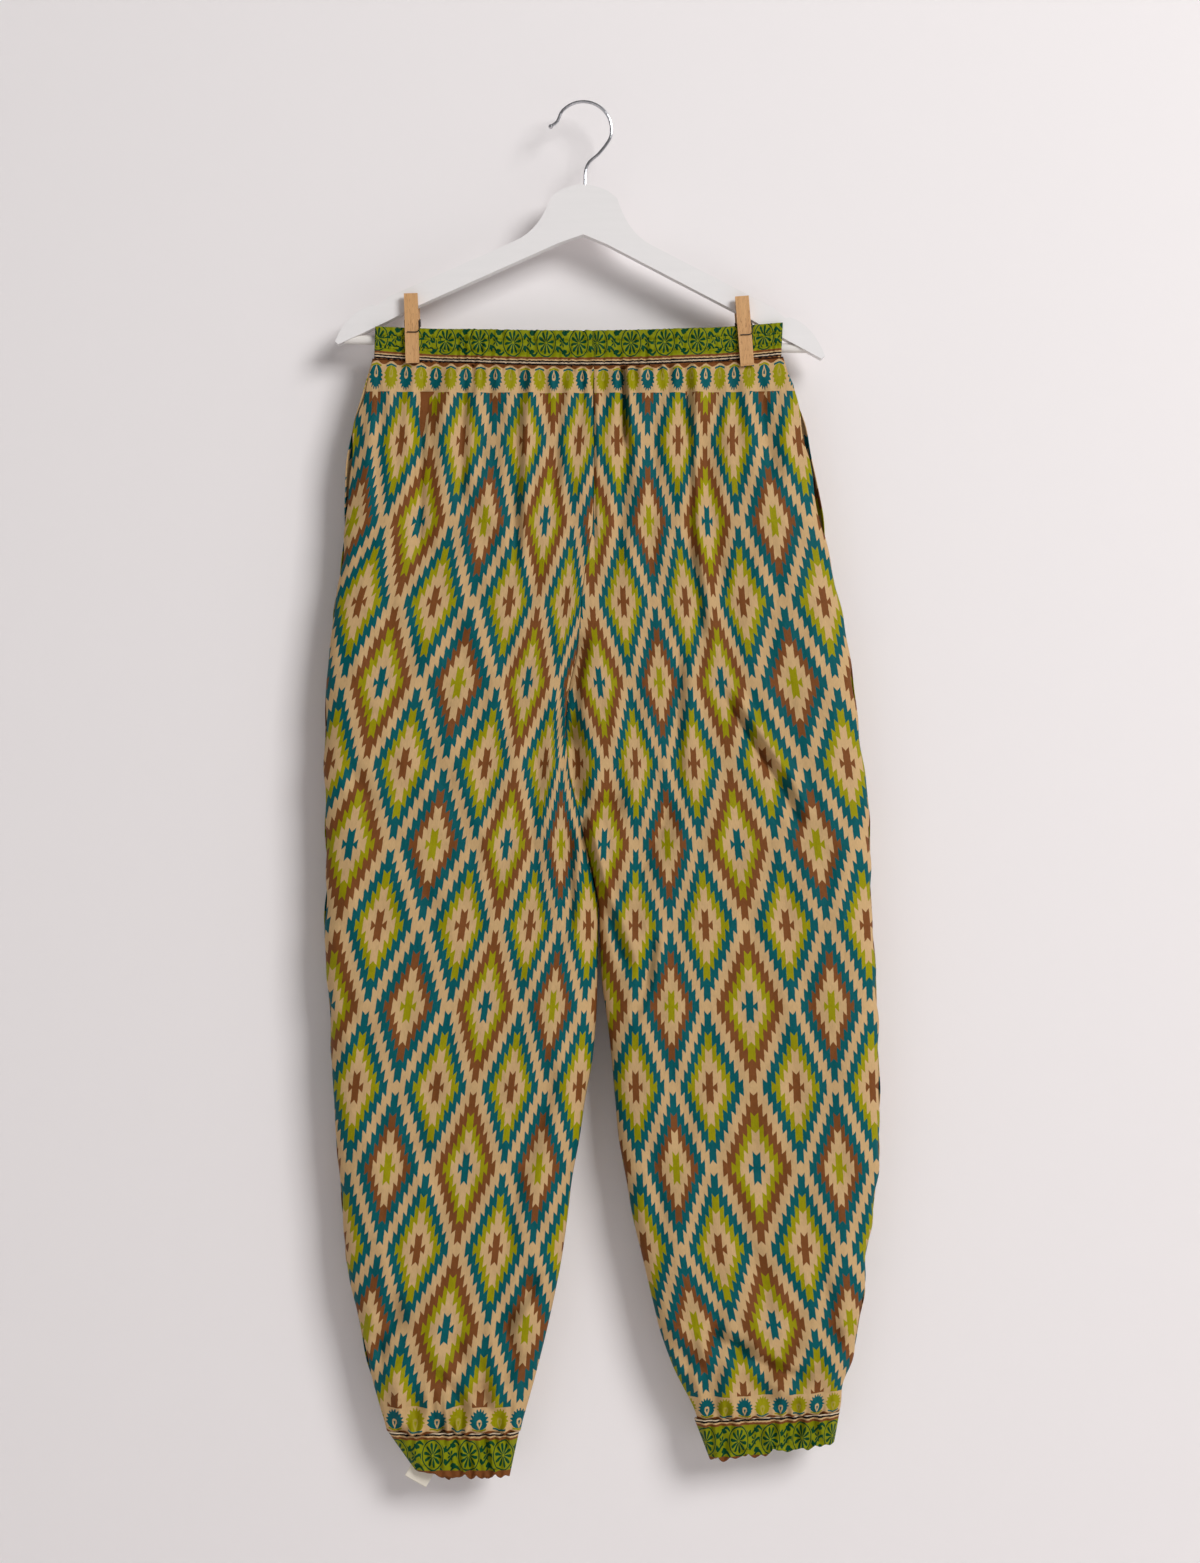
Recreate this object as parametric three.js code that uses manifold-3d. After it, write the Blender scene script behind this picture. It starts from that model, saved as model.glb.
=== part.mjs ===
// Wide gathered joggers, hung flat by two wooden pegs from a wooden trouser hanger.
// Millimetres. The origin is where the hook rests on its rail, +Z is up and the front faces -Y.
// Left and right are as seen from the front.
import * as THREE from "three";
import { mergeVertices } from "three/addons/utils/BufferGeometryUtils.js";
import Module from "manifold-3d";

const wasm = await Module();
wasm.setup();

// Driving dimensions
const seamGap = 0.3;
const clothWall = 1.2;
const casingWall = 1.8;
const bagWall = 1;
const bagGap = 5;
const sideRound = 34;
const crotchZ = -726;
const openZ = -655;
const waistSeamZ = -241;
const barRadius = 4.2;
const woodDepth = 12;
const hangerTilt = -1.7;
const hookRadius = 25.5;
const hookWire = 1.5;
const pegWidth = 12.2;
const casingBack = -6.4;
const pinchFront = -10.4;

// One row for each section: the outer and inner edges of both legs, and the front and back faces.
const sectionColumns = ["z", "leftOuter", "leftInner", "rightInner", "rightOuter", "front", "back"];
const sections = [
  [-241, -190, 9, 9, 178, -16, -6.4],
  [-258, -197, 9, 9, 186, -17, -3],
  [-280, -206, 9, 9, 197, -18, 1],
  [-307, -212, 9, 9, 203, -19, 4],
  [-343, -217, 9, 9, 210, -20, 6],
  [-390, -216, 8, 8, 217, -21, 7],
  [-433, -221, 0, 0, 226, -22, 8],
  [-487, -229, -5, -5, 238, -23, 9],
  [-541, -233, -15, -15, 245, -23.5, 9.5],
  [-595, -234, -16, -16, 252, -24, 10],
  [-649, -234, -3, -3, 257, -25, 10.5],
  [-690, -232, 5.9, 6.1, 259, -25, 11],
  [-726, -234, 12.6, 13.4, 260, -25, 11],
  [-770, -233, 12.4, 14.6, 262, -25, 11],
  [-829, -229, 12, 21, 265, -25, 11],
  [-892, -226, 3, 28, 267, -25, 11],
  [-955, -222, -7, 35, 266, -24.5, 11],
  [-1018, -217, -16, 46, 258, -24, 10.5],
  [-1081, -208, -27, 61, 252, -23, 10],
  [-1135, -197, -40, 76, 244, -21.5, 8.5],
  [-1171, -188, -48, 90, 236, -20, 6.5],
  [-1202, -178, -58, 101, 230, -18, 4],
].map((row) => Object.fromEntries(row.map((value, i) => [sectionColumns[i], value])));

// The centre-back seam runs straight to the crotch.
const centreBackTop = 5;

// Large soft folds: a trough from one end to the other, in the front or the back panels.
const foldColumns = ["face", "x0", "z0", "x1", "z1", "width", "depth"];
const folds = [
  ["front", -146, -262, -148, -405, 12, 3],
  ["front", -59, -268, -62, -415, 11, 3],
  ["front", 35, -245, 38, -300, 9, 4],
  ["front", 96, -259, 106, -475, 12, 4],
  ["front", 129, -541, 193, -651, 12, 5],
  ["front", -9, -545, -10, -640, 14, 7],
  ["front", 77, -639, 47, -705, 13, 5],
  ["front", 16, -735, 40, -778, 14, 5],
  ["front", -14, -667, -14, -741, 12, 4],
  ["front", 112, -1112, 184, -1160, 14, 5],
  ["front", -44, -1060, -72, -1110, 13, 4],
  ["front", -168, -1081, -188, -1140, 13, 4],
  ["back", -120, -262, -128, -430, 14, 4],
  ["back", -30, -260, -24, -380, 12, 4],
  ["back", 70, -262, 78, -450, 13, 4],
  ["back", 140, -270, 150, -400, 12, 3],
  ["back", -80, -560, -30, -690, 15, 5],
  ["back", 110, -560, 50, -690, 15, 5],
  ["back", -150, -1100, -90, -1150, 14, 4],
  ["back", 190, -1095, 130, -1145, 14, 4],
].map((row) => Object.fromEntries(row.map((value, i) => [foldColumns[i], value])));

// The pegs: place of the jaws across the waist, height above the first peg's, and lean.
const pegs = [
  { side: "left", x: -155, drop: 0, lean: -1.5 },
  { side: "right", x: 145.5, drop: -2.4, lean: -4.5 },
];

// The side pockets: height of the mouth and of the bag, and the bag's reach into the trousers.
const pocket = { mouthTop: -262, mouthBottom: -391, bagTop: -263, bagBottom: -452, reach: 128 };

const clamp01 = (v) => Math.min(1, Math.max(0, v));
const smooth = (from, to, v) => {
  const t = clamp01((v - from) / (to - from));
  return t * t * (3 - 2 * t);
};
const mix = (a, b, t) => a + (b - a) * t;
const radians = (degrees) => degrees * Math.PI / 180;

function sectionAt(z) {
  const last = sections.length - 1;
  let i = 0;
  while (i < last - 1 && sections[i + 1].z > z) i += 1;
  const t = clamp01((z - sections[i].z) / (sections[i + 1].z - sections[i].z));
  return Object.fromEntries(sectionColumns.map((key) => [key, mix(sections[i][key], sections[i + 1][key], t)]));
}

// How far the waist is pinched at x: 1 under a peg, 0 away from both and below the gathers.
function pinchAt(x, z) {
  const near = Math.max(...pegs.map((peg) => 1 - smooth(26, 58, Math.abs(x - peg.x))));
  return near * smooth(-275, -243, z);
}

// Closes a wall between an outer and an inner grid of points. A ring's columns close on themselves.
function closedWall(outer, inner, isRing) {
  const rows = outer.length;
  const cols = outer[0].length;
  const points = [...outer.flat(), ...inner.flat()];
  const innerStart = rows * cols;
  const at = (skin, r, c) => skin * innerStart + r * cols + (c % cols);
  const faces = [];
  const quad = (a, b, c, d) => faces.push(a, b, c, a, c, d);
  const spans = isRing ? cols : cols - 1;
  for (let r = 0; r < rows - 1; r += 1) {
    for (let c = 0; c < spans; c += 1) {
      quad(at(0, r, c), at(0, r + 1, c), at(0, r + 1, c + 1), at(0, r, c + 1));
      quad(at(1, r, c), at(1, r, c + 1), at(1, r + 1, c + 1), at(1, r + 1, c));
    }
    if (!isRing) {
      quad(at(0, r, 0), at(1, r, 0), at(1, r + 1, 0), at(0, r + 1, 0));
      quad(at(0, r, spans), at(0, r + 1, spans), at(1, r + 1, spans), at(1, r, spans));
    }
  }
  for (let c = 0; c < spans; c += 1) {
    quad(at(0, 0, c), at(0, 0, c + 1), at(1, 0, c + 1), at(1, 0, c));
    quad(at(0, rows - 1, c), at(1, rows - 1, c), at(1, rows - 1, c + 1), at(0, rows - 1, c + 1));
  }
  return facingOut(points, faces);
}

// Builds the geometry, turned so that its volume is positive.
function facingOut(points, faces) {
  let volume = 0;
  for (let i = 0; i < faces.length; i += 3) {
    const [a, b, c] = [points[faces[i]], points[faces[i + 1]], points[faces[i + 2]]];
    volume += a.dot(new THREE.Vector3().crossVectors(b, c));
  }
  const order = volume < 0 ? faces.slice().reverse() : faces;
  const geometry = new THREE.BufferGeometry();
  geometry.setAttribute("position", new THREE.Float32BufferAttribute(points.flatMap((p) => p.toArray()), 3));
  geometry.setIndex(order);
  return geometry;
}

// Moves each point of a section inwards by the wall, square to the section's own line. Where the
// line's ends meet another panel, the directions there are given.
function insetRow(row, wall, towards, isRing, ends = []) {
  const n = row.length;
  return row.map((point, i) => {
    if (ends.length && i === 0) return point.clone().addScaledVector(ends[0], wall);
    if (ends.length && i === n - 1) return point.clone().addScaledVector(ends[1], wall);
    const before = row[isRing ? (i + n - 1) % n : Math.max(0, i - 1)];
    const after = row[isRing ? (i + 1) % n : Math.min(n - 1, i + 1)];
    const normal = new THREE.Vector3(-(after.y - before.y), after.x - before.x, 0).normalize();
    return point.clone().addScaledVector(normal, wall * towards);
  });
}

// Steps across a panel: distance from the outer edge and how far the face has risen there.
function acrossSteps(width, round, open, edgeSteps, flatSteps) {
  const steps = [];
  for (let i = 0; i < edgeSteps; i += 1) {
    const angle = radians(90 * i / edgeSteps);
    steps.push({ d: round * (1 - Math.cos(angle)), rise: Math.sin(angle) });
  }
  for (let i = 0; i <= flatSteps; i += 1) steps.push({ d: mix(round, width - round, i / flatSteps), rise: 1 });
  for (let i = edgeSteps - 1; i >= 0; i -= 1) {
    const angle = radians(90 * i / edgeSteps);
    steps.push({ d: width - round * (1 - Math.cos(angle)), rise: mix(Math.sin(angle), 1, open) });
  }
  return steps;
}

function foldDepth(face, x, z) {
  let depth = 0;
  for (const fold of folds) {
    if (fold.face !== face) continue;
    const along = new THREE.Vector2(fold.x1 - fold.x0, fold.z1 - fold.z0);
    const from = new THREE.Vector2(x - fold.x0, z - fold.z0);
    const t = clamp01(from.dot(along) / along.lengthSq());
    const away = from.addScaledVector(along, -t).length();
    depth += fold.depth * Math.exp(-((away / fold.width) ** 2));
  }
  return depth;
}

// How far the pocket mouth stands open at a height: 0 outside it, 1 at its middle.
function mouthAt(z) {
  const t = (z - pocket.mouthBottom) / (pocket.mouthTop - pocket.mouthBottom);
  return t > 0 && t < 1 ? Math.sin(Math.PI * t) ** 0.5 : 0;
}

// The seam under the waist casing sags in the middle; the cuff seams lean a little.
const waistSag = (x) => (x < 0 ? 8 * (x / 190) ** 2 : 10 * (x / 180) ** 2);
const cuffSeamZ = { left: () => -1201, right: (x) => mix(-1190, -1183, clamp01((x - 100) / 135)) };

function panelHeights(side, x) {
  const bottom = cuffSeamZ[side](x) + seamGap / 2;
  return sections.map(({ z }, i) => {
    if (i === sections.length - 1) return bottom;
    const lifted = z - seamGap / 2 + waistSag(x) * smooth(-300, -241, z);
    return i === sections.length - 2 ? mix(lifted, bottom, side === "right" ? 0.35 : 0.1) : lifted;
  });
}

// One panel: from its side seam to the centre seam above the crotch, and to the inseam below it.
function panel(side, face) {
  const inward = side === "left" ? 1 : -1;
  const outwardY = face === "front" ? -1 : 1;
  const outer = [];
  const inner = [];
  for (let r = 0; r < sections.length; r += 1) {
    const { z } = sections[r];
    const row = sectionAt(z);
    const open = smooth(crotchZ, openZ, z);
    let centre = row[`${side}Inner`];
    if (face === "back" && z > crotchZ) {
      centre = mix(centreBackTop, sections[12][`${side}Inner`], (z - waistSeamZ) / (crotchZ - waistSeamZ));
    }
    const mouth = mouthAt(z);
    const edge = row[`${side}Outer`] + (face === "front" ? inward * 4 * mouth : 0);
    const width = Math.abs(centre - edge);
    const middles = [];
    const line = acrossSteps(width, sideRound, open, 3, 6).map(({ d, rise }, i, all) => {
      const x = edge + inward * d;
      const pinch = pinchAt(x, z);
      const middle = mix((row.front + row.back) / 2, (pinchFront + casingBack) / 2, pinch);
      middles.push(middle);
      const faceY = face === "front" ? mix(row.front, pinchFront, pinch) : mix(row.back, casingBack, pinch);
      const seam = i === 0 || i === all.length - 1 ? seamGap / 2 : 0;
      const isCentre = i === all.length - 1;
      const inset = isCentre ? inward * seam * open : 0;
      const gape = i === 0 && face === "front" ? 3 * mouth : 0;
      const sunk = foldDepth(face, x, z) * clamp01(d / 20) * mix(clamp01((width - d) / 20), 1, open);
      const y = mix(middle, faceY - outwardY * sunk * (1 - pinch), rise);
      const shut = isCentre ? seam * (1 - open) : seam;
      return new THREE.Vector3(x - inset, y + outwardY * (shut + gape), panelHeights(side, x)[r]);
    });
    outer.push(line);
    const seamEnds = [
      new THREE.Vector3(inward, 0, 0),
      new THREE.Vector3(-inward * (1 - open), -outwardY * open, 0).normalize(),
    ];
    const inset = insetRow(line, clothWall, -outwardY * inward, false, seamEnds);
    inset.forEach((point, i) => {
      const clear = outwardY * (point.y - middles[i]) - seamGap / 2;
      if (clear < 0) point.y -= outwardY * clear;
    });
    inner.push(inset);
  }
  return closedWall(outer, inner, false);
}

// A flattened ring of cloth: each row gives its ends, its faces and its height at each end.
function ring(rows, wall, round, flatSteps) {
  const outer = [];
  const inner = [];
  for (const row of rows) {
    const steps = acrossSteps(row.x1 - row.x0, round, 0, 3, flatSteps);
    const half = (face) => steps.map(({ d, rise }) => {
      const x = row.x0 + d;
      const pinch = row.pinched ? pinchAt(x, waistSeamZ) : 0;
      const front = mix(row.front, pinchFront, pinch);
      const middle = (front + row.back) / 2;
      return new THREE.Vector3(x, mix(middle, face === "front" ? front : row.back, rise), row.z(x));
    });
    const line = [...half("front").slice(0, -1), ...half("back").reverse().slice(0, -1)];
    outer.push(line);
    inner.push(insetRow(line, wall, 1, true));
  }
  return closedWall(outer, inner, true);
}

const waistTop = (x) => -208.5 + (x < 0 ? 4.5 * (x / 190) ** 2 : 8 * (x / 180) ** 2);
const waistBottom = (x) => waistSeamZ + waistSag(x) + seamGap / 2;

function waistCasing() {
  const rows = [0, 0.5, 1].map((t) => ({
    x0: mix(-188.5, -189.5, t),
    x1: mix(179.5, 177.5, t),
    front: -16,
    back: casingBack,
    pinched: true,
    z: (x) => mix(waistTop(x), waistBottom(x), t),
  }));
  return ring(rows, casingWall, 6, 18);
}

function cuffCasing(side) {
  const left = side === "left";
  const top = left ? { x0: -178, x1: -58 } : { x0: 99, x1: 231.5 };
  const bottom = left ? { x0: -158, x1: -67 } : { x0: 112, x1: 226 };
  const bottomZ = left ? () => -1240 : (x) => mix(-1227, -1211, clamp01((x - 112) / 116));
  const rows = [0, 0.55, 1].map((t) => ({
    x0: mix(top.x0, bottom.x0, t),
    x1: mix(top.x1, bottom.x1, t),
    front: mix(-18, -15.5, t),
    back: mix(4, 2, t),
    z: (x) => mix(cuffSeamZ[side](x) - seamGap / 2, bottomZ(x), t),
  }));
  return ring(rows, casingWall, 14, 8);
}

// A pocket bag: a front and a back layer round an open mouth, closed at the inner end.
function pocketBag(side) {
  const inward = side === "left" ? 1 : -1;
  const outer = [];
  const inner = [];
  const heights = 8;
  for (let r = 0; r <= heights; r += 1) {
    const z = mix(pocket.bagTop, pocket.bagBottom, r / heights);
    const row = sectionAt(z);
    const middle = (row.front + row.back) / 2;
    const start = row[`${side}Outer`] + inward * (clothWall + 5.8);
    const lower = smooth(pocket.mouthBottom - 10, pocket.bagBottom, z);
    const reach = pocket.reach * Math.sqrt(1 - 0.82 * lower ** 2) * mix(1, 0.86, smooth(-320, pocket.bagTop, z));
    const half = mix(bagGap / 2, 0.6, smooth(-300, pocket.bagTop, z)) + bagWall;
    const line = [];
    const straight = [0, 0.3, 0.65, 1].map((t) => t * (reach - half));
    for (const d of straight) line.push(new THREE.Vector3(start + inward * d, middle - half, z));
    for (const turn of [45, 90, 135]) {
      const angle = radians(turn);
      const x = start + inward * (reach - half + half * Math.sin(angle));
      line.push(new THREE.Vector3(x, middle - half * Math.cos(angle), z));
    }
    for (const d of straight.reverse()) line.push(new THREE.Vector3(start + inward * d, middle + half, z));
    outer.push(line);
    inner.push(insetRow(line, bagWall, inward, false));
  }
  return closedWall(outer, inner, false);
}

// Solids for cutting and joining
function toSolid(geometry) {
  const bare = geometry.clone();
  bare.deleteAttribute("normal");
  bare.deleteAttribute("uv");
  const merged = mergeVertices(bare, 1e-4);
  return new wasm.Manifold(new wasm.Mesh({
    numProp: 3,
    vertProperties: Float32Array.from(merged.attributes.position.array),
    triVerts: Uint32Array.from(merged.index.array),
  }));
}

function toGeometry(solid) {
  const mesh = solid.getMesh();
  const geometry = new THREE.BufferGeometry();
  geometry.setAttribute("position", new THREE.Float32BufferAttribute(mesh.vertProperties, 3));
  geometry.setIndex(Array.from(mesh.triVerts));
  return geometry;
}

function rod(from, to, radius, sides) {
  const span = new THREE.Vector3().subVectors(to, from);
  const geometry = new THREE.CylinderGeometry(radius, radius, span.length(), sides);
  const turn = new THREE.Quaternion().setFromUnitVectors(new THREE.Vector3(0, 1, 0), span.clone().normalize());
  geometry.applyQuaternion(turn);
  geometry.translate(...new THREE.Vector3().addVectors(from, to).multiplyScalar(0.5).toArray());
  return geometry;
}

function wire(points, radius, sides, steps) {
  const section = new THREE.Shape(Array.from({ length: sides }, (_, i) => {
    const angle = 2 * Math.PI * i / sides;
    return new THREE.Vector2(radius * Math.cos(angle), radius * Math.sin(angle));
  }));
  const path = new THREE.CatmullRomCurve3(points, false, "centripetal");
  return new THREE.ExtrudeGeometry(section, { extrudePath: path, steps });
}

// Extrudes a side view drawn in x and z through y.
function extrudedAlongY(shape, depth, curveSegments) {
  const geometry = new THREE.ExtrudeGeometry(shape, { depth, bevelEnabled: false, curveSegments });
  geometry.translate(0, 0, -depth / 2);
  geometry.rotateX(Math.PI / 2);
  return geometry;
}

// The hanger stands straight here, and its group leans about the hook.
const hangerX = 2.9;
const barEnds = { left: new THREE.Vector3(-211, 0, -220.5), right: new THREE.Vector3(212, 0, -216.2) };

function hangerOutline() {
  const shape = new THREE.Shape();
  shape.moveTo(0, -75);
  shape.quadraticCurveTo(19, -76, 29.5, -86.5);
  shape.bezierCurveTo(36, -104, 44, -120, 64, -129);
  shape.lineTo(172, -180.5);
  shape.quadraticCurveTo(178, -184, 184.5, -190.5);
  shape.lineTo(189, -189.5);
  shape.bezierCurveTo(203, -192.5, 215.5, -207, 221.5, -223.5);
  shape.lineTo(218.5, -226);
  shape.lineTo(184.6, -209);
  shape.lineTo(146, -188.4);
  shape.lineTo(22, -128.5);
  shape.lineTo(0, -120);
  return shape;
}

function hangerWood() {
  const right = hangerOutline().getPoints(8);
  const left = right.slice(1, -1).reverse().map((p) => new THREE.Vector2(-p.x, p.y));
  const whole = new THREE.Shape([...right, ...left].map((p) => new THREE.Vector2(p.x + hangerX, p.y)));
  const shankHole = rod(new THREE.Vector3(hangerX, 0, -96), new THREE.Vector3(hangerX, 0, -70), hookWire + seamGap, 16);
  const along = new THREE.Vector3().subVectors(barEnds.right, barEnds.left).normalize().multiplyScalar(seamGap);
  const barHole = rod(
    barEnds.left.clone().sub(along),
    barEnds.right.clone().add(along),
    barRadius + seamGap,
    24,
  );
  const solid = toSolid(extrudedAlongY(whole, woodDepth, 8));
  return toGeometry(solid.subtract(toSolid(shankHole)).subtract(toSolid(barHole)));
}

function hook() {
  const points = [
    new THREE.Vector3(-29, 0, -21.5),
    new THREE.Vector3(-24, 0, -17.5),
  ];
  for (let degrees = 143; degrees >= -30; degrees -= 15.75) {
    const angle = radians(degrees);
    points.push(new THREE.Vector3(hookRadius * Math.cos(angle), 0, -24 + hookRadius * Math.sin(angle)));
  }
  points.push(new THREE.Vector3(14.5, 0, -45.5));
  points.push(new THREE.Vector3(6, 0, -53.5));
  points.push(new THREE.Vector3(hangerX + 0.2, 0, -61));
  points.push(new THREE.Vector3(hangerX, 0, -72));
  points.push(new THREE.Vector3(hangerX, 0, -95.7));
  const stem = toSolid(wire(points, hookWire, 8, 44));
  const ball = new THREE.SphereGeometry(2.3, 10, 8);
  ball.translate(-29.6, 0, -21.9);
  return toGeometry(stem.add(toSolid(ball)));
}

// Peg legs, drawn in y and z: handle at the top, jaw at the bottom.
const frontLegSide = [
  [-14.6, -175], [-15.6, -236], [-14.8, -238], [-12.8, -237.5], [-10.8, -232.5], [-10.8, -199],
  [-4, -197.8], [-4, -197.4], [-6.5, -196.2], [-6.5, -192], [-11, -175],
];
const backLegSide = [
  [13.2, -175], [9.8, -175], [6.5, -192], [6.5, -196.2], [4, -197.4], [4, -204], [0.5, -208],
  [0.5, -227], [-6, -231], [-6, -236], [-2, -238], [7, -237], [11.4, -200],
];

// The trouser bar's height at x, as the hanger leans.
function barHeightAt(x) {
  const lean = radians(hangerTilt);
  const [left, right] = [barEnds.left, barEnds.right].map((end) => ({
    x: end.x * Math.cos(lean) - end.z * Math.sin(lean),
    z: end.x * Math.sin(lean) + end.z * Math.cos(lean),
  }));
  return mix(left.z, right.z, (x - left.x) / (right.x - left.x));
}

// The back leg has a round notch for the bar.
function pegBackLeg(peg) {
  const height = barHeightAt(peg.x) - peg.drop;
  const notch = rod(new THREE.Vector3(-20, 0, height), new THREE.Vector3(20, 0, height), barRadius + 1, 24);
  return toGeometry(toSolid(pegLeg(backLegSide)).subtract(toSolid(notch)));
}

function pegLeg(sideView) {
  const shape = new THREE.Shape(sideView.map(([y, z]) => new THREE.Vector2(y, z)));
  const geometry = new THREE.ExtrudeGeometry(shape, { depth: pegWidth, bevelEnabled: false });
  geometry.translate(0, 0, -pegWidth / 2);
  geometry.rotateY(Math.PI / 2);
  geometry.rotateX(Math.PI / 2);
  return geometry;
}

// The coil lies between the legs, and its two arms cross the outer faces.
function pegSpring() {
  const coil = rod(new THREE.Vector3(-7.4, 0, -199.5), new THREE.Vector3(7.4, 0, -199.5), 3.5, 12);
  const arm = (end, faceY) => wire([
    new THREE.Vector3(end * 7, 0, -199),
    new THREE.Vector3(end * 7, faceY * 0.45, -198.4),
    new THREE.Vector3(end * 7, faceY * 0.85, -200.5),
    new THREE.Vector3(end * 6.9, faceY, -208.5),
    new THREE.Vector3(end * 5.4, faceY, -210),
    new THREE.Vector3(end * -4.2, faceY, -210),
  ], 0.5, 6, 14);
  const front = toSolid(arm(1, -16));
  const back = toSolid(arm(-1, 12));
  return toGeometry(toSolid(coil).add(front).add(back));
}

// Materials
const cloth = (color) => new THREE.MeshStandardMaterial({ color, roughness: 0.85, metalness: 0 });
const panelCloth = cloth(0xb5936a);
const borderCloth = cloth(0x6e7422);
const bagCloth = cloth(0xc9ab84);
const labelCloth = cloth(0xe6dccb);
const paintedWood = new THREE.MeshStandardMaterial({ color: 0xf2efee, roughness: 0.45, metalness: 0 });
const barWood = new THREE.MeshStandardMaterial({ color: 0xefeae4, roughness: 0.5, metalness: 0 });
const chrome = new THREE.MeshStandardMaterial({ color: 0xc8c8cc, roughness: 0.2, metalness: 1 });
const beech = new THREE.MeshStandardMaterial({ color: 0xd0a06a, roughness: 0.65, metalness: 0 });
const springSteel = new THREE.MeshStandardMaterial({ color: 0x4a4644, roughness: 0.4, metalness: 1 });

const joggers = new THREE.Group();

function addMesh(parent, name, geometry, material) {
  const mesh = new THREE.Mesh(geometry, material);
  mesh.name = name;
  parent.add(mesh);
  return mesh;
}

for (const side of ["left", "right"]) {
  for (const face of ["front", "back"]) addMesh(joggers, `${face}_panel_${side}`, panel(side, face), panelCloth);
  addMesh(joggers, `cuff_casing_${side}`, cuffCasing(side), borderCloth);
  addMesh(joggers, `pocket_bag_${side}`, pocketBag(side), bagCloth);
}
addMesh(joggers, "waist_casing", waistCasing(), borderCloth);

// The blank label hangs from the left cuff's back layer and shows below its hem.
const label = addMesh(joggers, "blank_label", new THREE.BoxGeometry(22, 0.8, 27), labelCloth);
label.position.set(-140.9, -4.6, -1234);
label.rotation.y = radians(20);

const hanger = new THREE.Group();
hanger.rotation.y = radians(-hangerTilt);
addMesh(hanger, "hanger_wood", hangerWood(), paintedWood);
addMesh(hanger, "hanger_bar", rod(barEnds.left, barEnds.right, barRadius, 24), barWood);
addMesh(hanger, "hanger_hook", hook(), chrome);
joggers.add(hanger);

for (const settings of pegs) {
  const { side, x, drop, lean } = settings;
  const peg = new THREE.Group();
  peg.position.set(x, 0, drop - 217);
  peg.rotation.y = radians(lean);
  const parts = new THREE.Group();
  parts.position.z = 217;
  addMesh(parts, `peg_front_leg_${side}`, pegLeg(frontLegSide), beech);
  addMesh(parts, `peg_back_leg_${side}`, pegBackLeg(settings), beech);
  addMesh(parts, `peg_spring_${side}`, pegSpring(), springSteel);
  peg.add(parts);
  joggers.add(peg);
}

export default joggers;
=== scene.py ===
# Wide gathered joggers in printed crepe, pegged to a white trouser hanger.
# Metres. The hook rests on its rail at the origin, +Z is up and the front faces -Y.
# Left and right are as seen from the front.
import math
import bpy
import bmesh
import numpy as np
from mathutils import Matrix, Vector


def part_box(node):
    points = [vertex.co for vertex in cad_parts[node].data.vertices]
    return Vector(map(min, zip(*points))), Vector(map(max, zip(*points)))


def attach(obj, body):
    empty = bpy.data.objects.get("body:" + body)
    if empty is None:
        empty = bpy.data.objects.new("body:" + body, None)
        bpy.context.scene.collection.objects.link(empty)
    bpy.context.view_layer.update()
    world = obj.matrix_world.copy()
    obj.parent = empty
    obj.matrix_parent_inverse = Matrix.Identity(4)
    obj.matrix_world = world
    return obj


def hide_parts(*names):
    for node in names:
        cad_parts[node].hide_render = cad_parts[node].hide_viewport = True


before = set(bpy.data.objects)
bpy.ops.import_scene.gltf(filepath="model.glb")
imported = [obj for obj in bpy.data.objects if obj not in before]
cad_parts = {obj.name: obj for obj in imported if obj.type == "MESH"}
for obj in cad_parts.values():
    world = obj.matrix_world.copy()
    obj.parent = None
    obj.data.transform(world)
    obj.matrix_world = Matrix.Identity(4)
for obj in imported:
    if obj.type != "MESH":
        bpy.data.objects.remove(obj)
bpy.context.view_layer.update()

mm = 0.001
crotchZ = -726
openZ = -655
hipZ = -300
renderLevels = 1


def smooth(start, end, value):
    t = np.clip((value - start) / (end - start), 0, 1)
    return t * t * (3 - 2 * t)


def mix(a, b, t):
    return a + (b - a) * t


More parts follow.
